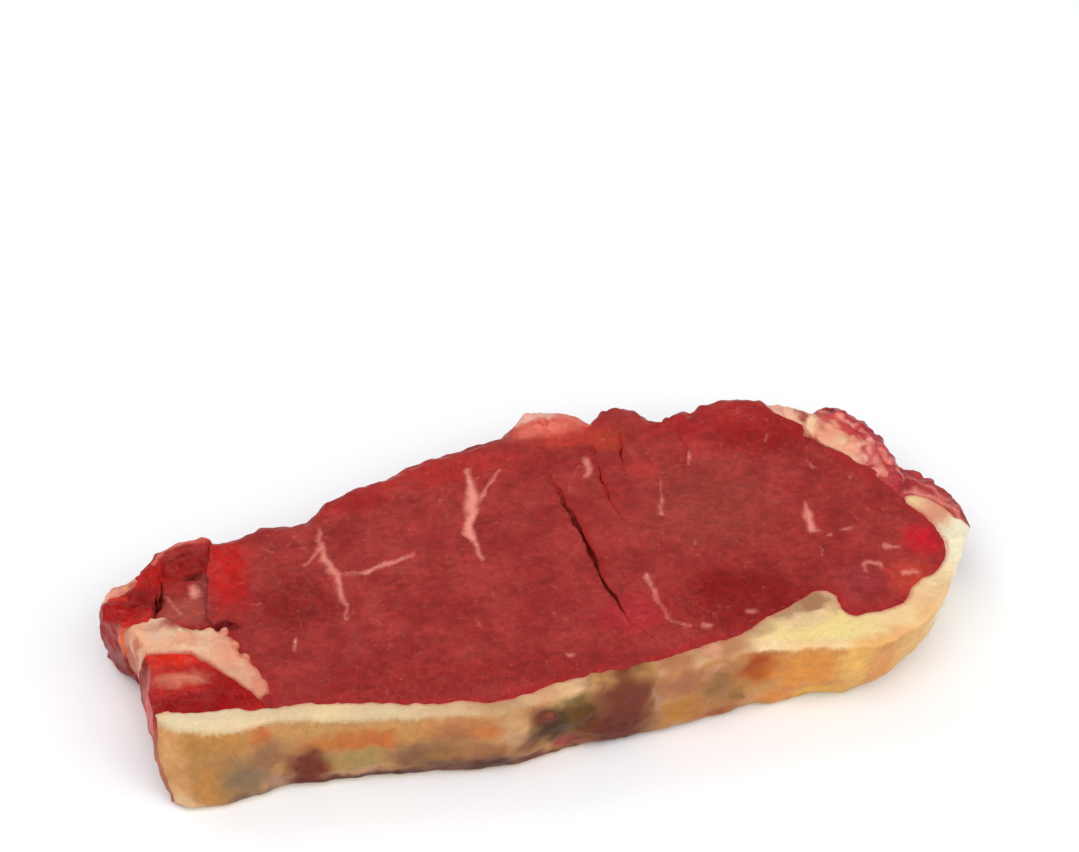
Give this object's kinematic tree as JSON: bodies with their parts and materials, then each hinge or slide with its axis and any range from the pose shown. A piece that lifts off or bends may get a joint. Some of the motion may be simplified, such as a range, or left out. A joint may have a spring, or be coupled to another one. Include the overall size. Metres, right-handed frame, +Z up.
{
  "type": "raw sirloin steak",
  "caption": "Thick slice of raw marbled beef, long and oval with a narrow tail, its front edge bordered by a band of fat that widens towards the rounded end.",
  "frame": {"origin": "the middle of the footprint, on the table", "axes": "+X from the narrow tail to the rounded end, +Y from the fat edge to the back, +Z up through the slice"},
  "size_m": [0.2034, 0.0986, 0.0246],
  "materials": {
    "lean": "moist, fine-grained raw muscle with pale marbling",
    "bright_lean": "moist, bright red raw muscle",
    "dark_lean": "moist, dark red raw muscle",
    "fat": "waxy cream fat, tanned on its outer side"
  },
  "bodies": {
    "root": {"fat_cap": "fat", "tail_lean": "bright_lean", "tail_seam_fat": "fat", "tail_tip_fat": "fat", "tail_tip_lean": "bright_lean", "tail_flap_lean": "dark_lean", "rim_lean": "bright_lean", "chain_fat": "fat", "chain_lean": "dark_lean", "back_fat": "fat", "eye_muscle": "lean"}
  },
  "joints": []
}
